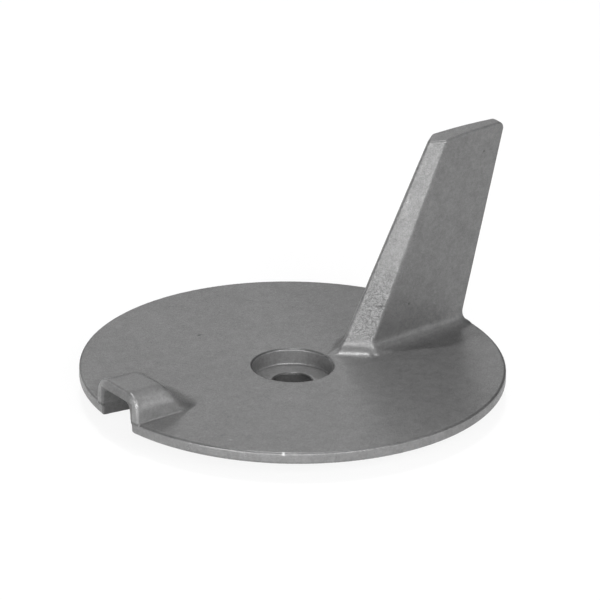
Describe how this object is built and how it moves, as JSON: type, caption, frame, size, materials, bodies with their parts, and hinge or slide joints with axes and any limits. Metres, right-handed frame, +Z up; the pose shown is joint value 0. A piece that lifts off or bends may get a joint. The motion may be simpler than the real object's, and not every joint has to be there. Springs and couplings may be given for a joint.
{
  "type": "sacrificial anode",
  "caption": "Cast trim-tab anode: a round plate with a raked, tapered fin, a counterbored bolt hole in the middle and a hooded notch at the rim",
  "frame": {"origin": "on the axis of the bolt hole, at the flat underside of the seat boss", "axes": "+Z up along the bolt hole's axis, +X from the axis towards the fin, so the hood and its notch lie at -X, and the casting is symmetric in Y"},
  "size_m": [0.1067, 0.098, 0.0549],
  "materials": {
    "cast_metal": "satin, fine-blasted cast surface"
  },
  "bodies": {
    "root": {"anode_casting": "cast_metal"}
  },
  "joints": []
}
